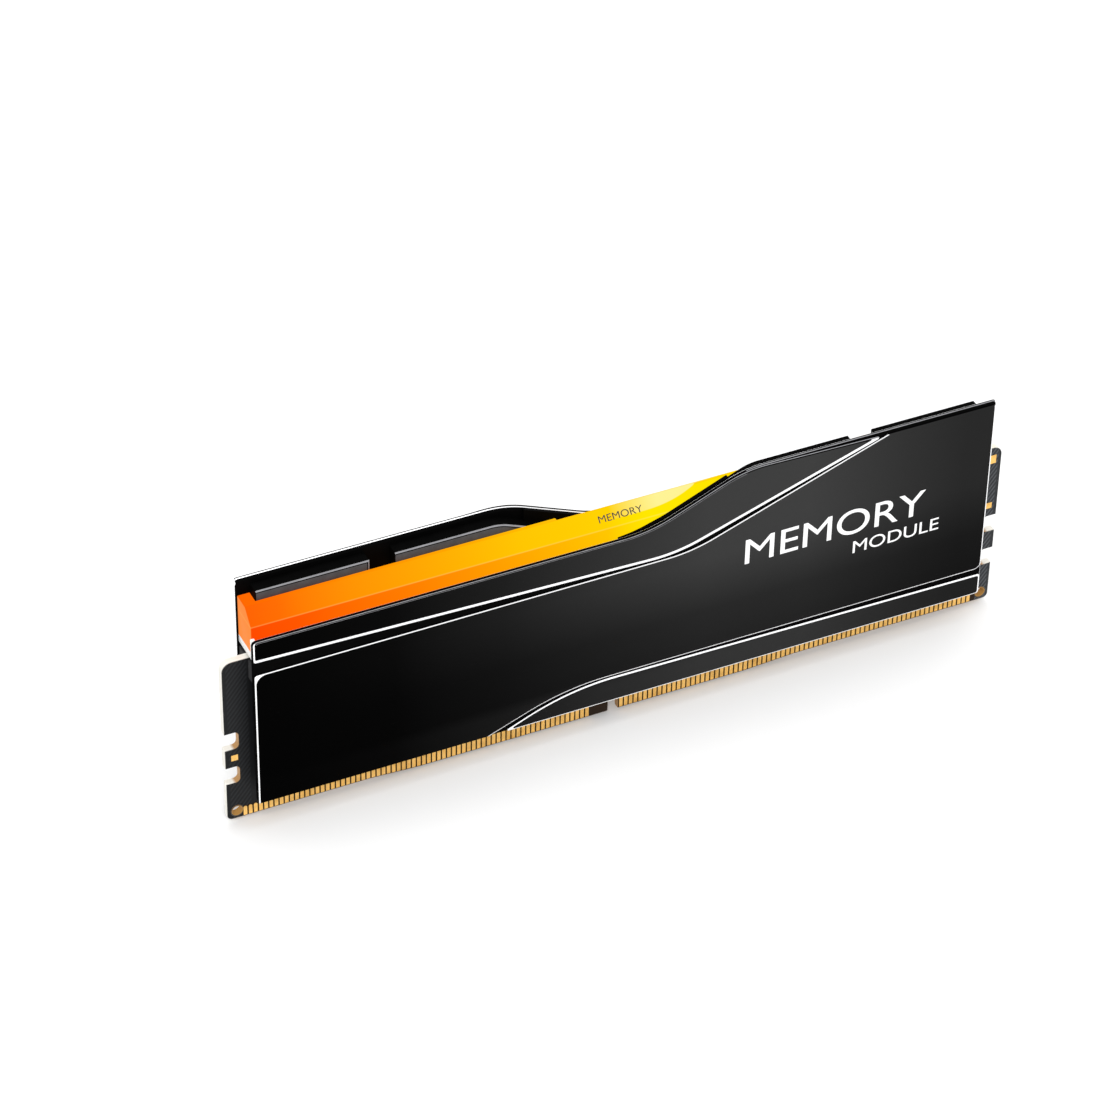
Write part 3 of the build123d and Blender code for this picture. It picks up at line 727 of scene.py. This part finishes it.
class MODULE_OT_heat_spreaders(bpy.types.Operator):
    """Build the two heat spreaders, one turned half a turn from the other"""
    bl_idname = "module.heat_spreaders"
    bl_label = "Heat spreaders"

    def execute(self, context):
        settings = context.scene.module_spreader
        # In slot order; the third is a painted highlight and the last a painted shade.
        finishes = [anodised_black(settings), bright_cut(settings), mottled_metal_tone("painted_edge_highlight", settings.edge_highlight),
                    mottled_metal_tone("rib_face", settings.rib),
                    mottled_metal_tone("groove_painted_shade", settings.groove, 0.008)]
        for name, turn in (("front", 0.0), ("back", math.pi)):
            bm = spreader_mesh(settings)
            bmesh.ops.rotate(bm, cent=(0, 0, 0), matrix=Matrix.Rotation(turn, 3, "Z"), verts=bm.verts)
            piece = finished(f"{name}_heat_spreader", bm, finishes, angle=math.radians(12))
            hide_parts(f"heat_spreader_{name}")
        return {"FINISHED"}


# ------------------------------------------------------------ light bar
class MODULE_OT_light_bar(bpy.types.Operator):
    """Build the lit diffuser along the top"""
    bl_idname = "module.light_bar"
    bl_label = "Light bar"

    def execute(self, context):
        settings = context.scene.module_light_bar
        bm = from_node("light_bar", settings.edge_break)
        piece = finished("light_diffuser", bm, [lit_diffuser(settings)], angle=math.radians(50))
        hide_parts("light_bar")
        return {"FINISHED"}


class MODULE_OT_light_carrier(bpy.types.Operator):
    """Build the white carrier under the light bar"""
    bl_idname = "module.light_carrier"
    bl_label = "Light carrier"

    def execute(self, context):
        piece = finished("white_light_carrier", from_node("light_carrier", 0.12 * MM), [white_plastic()])
        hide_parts("light_carrier")
        return {"FINISHED"}


# ---------------------------------------------------------- circuit card
class MODULE_OT_circuit_card(bpy.types.Operator):
    """Build the circuit card with its notches and holes"""
    bl_idname = "module.circuit_card"
    bl_label = "Circuit card"

    def execute(self, context):
        settings = context.scene.module_card
        bm = from_node("board", settings.edge_break, 1)
        piece = finished("circuit_card", bm, [solder_mask(settings)])
        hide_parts("board")
        return {"FINISHED"}


class MODULE_OT_gold_work(bpy.types.Operator):
    """Finish the contacts, the test pads and the plated holes"""
    bl_idname = "module.gold_work"
    bl_label = "Gold work"

    def execute(self, context):
        gold = gold_plating(context.scene.module_card)
        for side in ("front", "back"):
            for run in ("left", "right"):
                dress(f"contacts_{side}_{run}", gold)
        dress("test_pads", gold)
        rimmed = gold_plating(context.scene.module_card, "hole_plating", masked=True)
        for node in ("hole_plating_left", "hole_plating_right"):
            dress(node, rimmed)
        return {"FINISHED"}


class MODULE_OT_components(bpy.types.Operator):
    """Finish the chips and the small parts soldered to the card"""
    bl_idname = "module.components"
    bl_label = "Components"

    def execute(self, context):
        package = plain_finish("package_plastic", (0.018, 0.018, 0.019), (0.034, 0.034, 0.036), 0.55)
        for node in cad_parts:
            if node.startswith("memory_chip_"):
                dress(node, package)
        for node in ("power_ic", "clock_driver", "spd_hub", "light_controller"):
            dress(node, package)
        dress("power_inductors", plain_finish("ferrite", (0.09, 0.09, 0.10), (0.15, 0.15, 0.16), 0.6))
        dress("capacitors", plain_finish("ceramic", (0.36, 0.26, 0.18), (0.48, 0.38, 0.28), 0.5))
        dress("resistors", plain_finish("resistor_body", (0.02, 0.02, 0.02), (0.05, 0.05, 0.05), 0.4))
        dress("solder_balls", plain_finish("solder", (0.55, 0.55, 0.57), (0.72, 0.72, 0.74), 0.35, 1.0))
        dress("leds", plain_finish("led_lens", (0.85, 0.82, 0.70), (0.95, 0.93, 0.86), 0.3))
        return {"FINISHED"}


class MODULE_OT_pads(bpy.types.Operator):
    """Finish the thermal pads and the adhesive strips"""
    bl_idname = "module.pads"
    bl_label = "Pads and strips"

    def execute(self, context):
        silicone = plain_finish("silicone_pad", (0.16, 0.17, 0.19), (0.26, 0.27, 0.30), 0.8, scale=2500.0,
                                bump=0.4)
        foam = plain_finish("foam_strip", (0.010, 0.010, 0.011), (0.030, 0.030, 0.032), 0.9, scale=4000.0,
                            bump=0.6)
        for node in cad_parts:
            if node.startswith("thermal_pad_"):
                dress(node, silicone)
            elif node.startswith("edge_strip_"):
                dress(node, foam)
        return {"FINISHED"}


# --------------------------------------------------------------- legend
def legend(name, word, size, place, turn, material):
    """A plain word as a thin raised mesh, standing upright on a face."""
    font = bpy.data.curves.new(name, "FONT")
    font.body = word
    font.size = size
    font.extrude = PRINT_THICK / 2
    font.align_x = "LEFT"
    holder = bpy.data.objects.new(name, font)
    mesh = bpy.data.meshes.new_from_object(holder)
    bpy.data.objects.remove(holder)
    bpy.data.curves.remove(font)
    bm = bmesh.new()
    bm.from_mesh(mesh)
    bpy.data.meshes.remove(mesh)
    bmesh.ops.remove_doubles(bm, verts=bm.verts, dist=1e-7)
    bmesh.ops.scale(bm, vec=(STRETCH, 1.0, 1.0), verts=bm.verts)
    bmesh.ops.transform(bm, matrix=Matrix.Translation(place) @ turn, verts=bm.verts)
    return finished(name, bm, [material], scale=1.0)


class MODULE_OT_legends(bpy.types.Operator):
    """Print the plain generic words"""
    bl_idname = "module.legends"
    bl_label = "Legends"

    def execute(self, context):
        settings = context.scene.module_legend
        white = plain_finish("white_print", (0.86, 0.86, 0.86), (0.95, 0.95, 0.95), 0.5)
        upright = Matrix.Rotation(math.pi / 2, 4, "X")
        around = Matrix.Rotation(math.pi, 4, "Z")
        for side, spin in (("front", Matrix.Identity(4)), ("back", around)):
            for part, word, size, x, z in (
                ("large", settings.large, settings.large_size, *LARGE_PLACE),
                ("small", settings.small, settings.small_size, *SMALL_PLACE),
            ):
                place = spin @ Vector((x * MM, PRINT_THICK / 2 - OUTER * MM, z * MM))
                piece = legend(f"{side}_{part}_word", word, size, place, spin @ upright, white)
        black = plain_finish("black_print", (0.01, 0.01, 0.01), (0.02, 0.02, 0.02), 0.5)
        slope = Matrix.Rotation(math.atan2(BAR_RISE, BAR_RUN), 4, "X")
        climb = (BAR_FACE + BAR_WORD_Y) * BAR_RISE / BAR_RUN * MM
        foot = Vector((BAR_WORD_X * MM, BAR_WORD_Y * MM, BAR_SHOULDER + climb))
        piece = legend("bar_word", settings.large, settings.bar_size, foot, slope, black)
        return {"FINISHED"}


# ---------------------------------------------------------------- stage
def area_light(name, place, aim, size, energy):
    """A soft rectangular lamp that faces a point."""
    light = bpy.data.lights.new(name, "AREA")
    light.shape = "RECTANGLE"
    light.size, light.size_y = size
    light.energy = energy
    lamp = bpy.data.objects.new(name, light)
    lamp.location = place
    lamp.rotation_euler = (Vector(aim) - Vector(place)).to_track_quat("-Z", "Y").to_euler()
    bpy.context.scene.collection.objects.link(lamp)
    return lamp


class MODULE_OT_stage(bpy.types.Operator):
    """Lay the floor, hang the lights and place the camera"""
    bl_idname = "module.stage"
    bl_label = "Stage"

    def execute(self, context):
        settings = context.scene.module_stage
        scene = context.scene
        bm = bmesh.new()
        bmesh.ops.create_grid(bm, x_segments=1, y_segments=1, size=3.0)
        mesh = bpy.data.meshes.new("studio_floor")
        bm.to_mesh(mesh)
        bm.free()
        floor = bpy.data.objects.new("studio_floor", mesh)
        scene.collection.objects.link(floor)
        pale, shader = new_material("pale_floor")
        shader.inputs["Base Color"].default_value = (*settings.floor, 1.0)
        shader.inputs["Roughness"].default_value = 0.9
        shader.inputs["Specular IOR Level"].default_value = 0.0
        mesh.materials.append(pale)

        world = bpy.data.worlds.new("studio")
        world.use_nodes = True
        world.node_tree.nodes["Background"].inputs["Color"].default_value = (1.0, 1.0, 1.0, 1.0)
        world.node_tree.nodes["Background"].inputs["Strength"].default_value = 0.75
        scene.world = world
        area_light("key_light", (-0.5, -0.9, 1.1), (0, 0, 0.02), (0.9, 0.9), 14.0 * settings.key)
        area_light("top_light", (0.3, 0.2, 1.3), (0, 0, 0.02), (1.2, 1.2), 8.0)

        camera = bpy.data.cameras.new("camera")
        camera.lens = settings.lens
        camera.sensor_width = 36.0
        camera.clip_start = 0.01
        eye = bpy.data.objects.new("camera", camera)
        place = Vector((settings.camera_x, settings.camera_y, settings.camera_z))
        level = Vector(settings.camera_aim).to_track_quat("-Z", "Y")
        eye.location = place
        eye.rotation_euler = (level @ Quaternion((0, 0, 1), settings.camera_roll)).to_euler()
        scene.collection.objects.link(eye)
        scene.camera = eye
        scene.view_settings.view_transform = "Standard"
        scene.view_settings.look = "None"
        return {"FINISHED"}


# ---------------------------------------------------------------- panel
STEPS = (
    "heat_spreaders", "light_bar", "light_carrier", "circuit_card", "gold_work", "components", "pads",
    "legends", "stage",
)
SETTINGS = (
    ("module_spreader", SpreaderSettings),
    ("module_light_bar", LightBarSettings),
    ("module_card", CardSettings),
    ("module_legend", LegendSettings),
    ("module_stage", StageSettings),
)


class MODULE_PT_sidebar(bpy.types.Panel):
    """Lists the settings and the steps that build the module"""
    bl_label = "Memory module"
    bl_idname = "MODULE_PT_sidebar"
    bl_space_type = "VIEW_3D"
    bl_region_type = "UI"
    bl_category = "Module"

    def draw(self, context):
        layout = self.layout
        for name, group in SETTINGS:
            box = layout.box()
            box.label(text=group.__doc__)
            for field in group.__annotations__:
                box.prop(getattr(context.scene, name), field)
        for step in STEPS:
            layout.operator(f"module.{step}")


OPERATORS = (
    MODULE_OT_heat_spreaders,
    MODULE_OT_light_bar,
    MODULE_OT_light_carrier,
    MODULE_OT_circuit_card,
    MODULE_OT_gold_work,
    MODULE_OT_components,
    MODULE_OT_pads,
    MODULE_OT_legends,
    MODULE_OT_stage,
)
CLASSES = tuple(group for _, group in SETTINGS) + OPERATORS + (MODULE_PT_sidebar,)


def register():
    """Add the classes and the scene's settings."""
    for item in CLASSES:
        bpy.utils.register_class(item)
    for name, group in SETTINGS:
        setattr(bpy.types.Scene, name, PointerProperty(type=group))


def unregister():
    """Remove the settings and the classes."""
    for name, _ in SETTINGS:
        delattr(bpy.types.Scene, name)
    for item in reversed(CLASSES):
        bpy.utils.unregister_class(item)


def main():
    """Build every piece in order."""
    register()
    for step in STEPS:
        getattr(bpy.ops.module, step)()
    bpy.context.view_layer.update()


if __name__ == "__main__":
    main()
